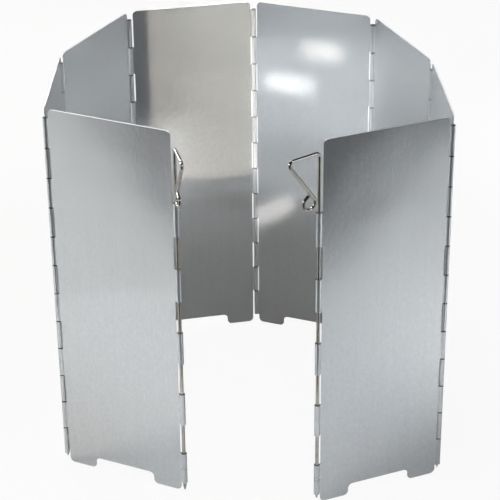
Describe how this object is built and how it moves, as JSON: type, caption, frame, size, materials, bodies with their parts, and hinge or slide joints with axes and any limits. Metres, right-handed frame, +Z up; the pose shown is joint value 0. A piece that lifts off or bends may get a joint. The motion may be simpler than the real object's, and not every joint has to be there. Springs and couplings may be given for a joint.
{
  "type": "stove windscreen",
  "caption": "Folding ring of hinged sheet panels that stands round a camp stove to keep wind off the flame, with a wire ground stake that slides in each free edge.",
  "frame": {"origin": "middle of the open ring's outline, on the ground under the feet", "axes": "+Z up along the hinges, -Y from the ring's middle out through the gap between its free edges"},
  "size_m": [0.2336, 0.2364, 0.24],
  "materials": {
    "panel_sheet": "satin, fine upright grain",
    "hinge_wire": "drawn wire",
    "stake_wire": "bright drawn wire"
  },
  "bodies": {
    "left_back": {"left_back_panel": "panel_sheet", "hinge_pin_3": "hinge_wire", "hinge_pin_4": "hinge_wire"},
    "left_rear": {"left_rear_panel": "panel_sheet", "hinge_pin_2": "hinge_wire"},
    "left_side": {"left_side_panel": "panel_sheet", "hinge_pin_1": "hinge_wire"},
    "left_end": {"left_end_panel": "panel_sheet"},
    "right_back": {"right_back_panel": "panel_sheet", "hinge_pin_5": "hinge_wire"},
    "right_rear": {"right_rear_panel": "panel_sheet", "hinge_pin_6": "hinge_wire"},
    "right_side": {"right_side_panel": "panel_sheet", "hinge_pin_7": "hinge_wire"},
    "right_end": {"right_end_panel": "panel_sheet"},
    "left_stake": {"left_stake": "stake_wire"},
    "right_stake": {"right_stake": "stake_wire"}
  },
  "joints": [
    {"name": "fold", "type": "hinge", "parent": "left_back", "child": "right_back", "pos_m": [0.00544, 0.11672, 0.12], "axis": [0, 0, 1], "range_deg": [0, 210]},
    {"name": "fold_left_rear", "type": "hinge", "parent": "left_back", "child": "left_rear", "pos_m": [-0.07517, 0.09961, 0.12], "axis": [0, 0, 1], "range_deg": [0, 125]},
    {"name": "fold_left_side", "type": "hinge", "parent": "left_rear", "child": "left_side", "pos_m": [-0.1132, 0.02651, 0.12], "axis": [0, 0, -1], "range_deg": [0, 201.5]},
    {"name": "fold_right_rear", "type": "hinge", "parent": "right_back", "child": "right_rear", "pos_m": [0.08158, 0.08521, 0.12], "axis": [0, 0, -1], "range_deg": [0, 129.5]},
    {"name": "fold_right_side", "type": "hinge", "parent": "right_rear", "child": "right_side", "pos_m": [0.11176, 0.00853, 0.12], "axis": [0, 0, 1], "range_deg": [0, 194.5]},
    {"name": "left_wing", "type": "hinge", "parent": "left_side", "child": "left_end", "pos_m": [-0.11537, -0.05586, 0.12], "axis": [0, 0, 1], "range_deg": [-67, 109.5]},
    {"name": "right_wing", "type": "hinge", "parent": "right_side", "child": "right_end", "pos_m": [0.11537, -0.07379, 0.12], "axis": [0, 0, -1], "range_deg": [-71, 105.5]},
    {"name": "left_stake_slide", "type": "slide", "parent": "left_end", "child": "left_stake", "axis": [0, 0, -1], "range_m": [0, 0.031]},
    {"name": "right_stake_slide", "type": "slide", "parent": "right_end", "child": "right_stake", "axis": [0, 0, -1], "range_m": [0, 0.033]}
  ],
  "couplings": [
    {"joint": "fold_left_rear", "follows": "fold", "ratio": 0.5952},
    {"joint": "fold_left_side", "follows": "fold", "ratio": 0.9595},
    {"joint": "fold_right_rear", "follows": "fold", "ratio": 0.6166},
    {"joint": "fold_right_side", "follows": "fold", "ratio": 0.9261}
  ]
}
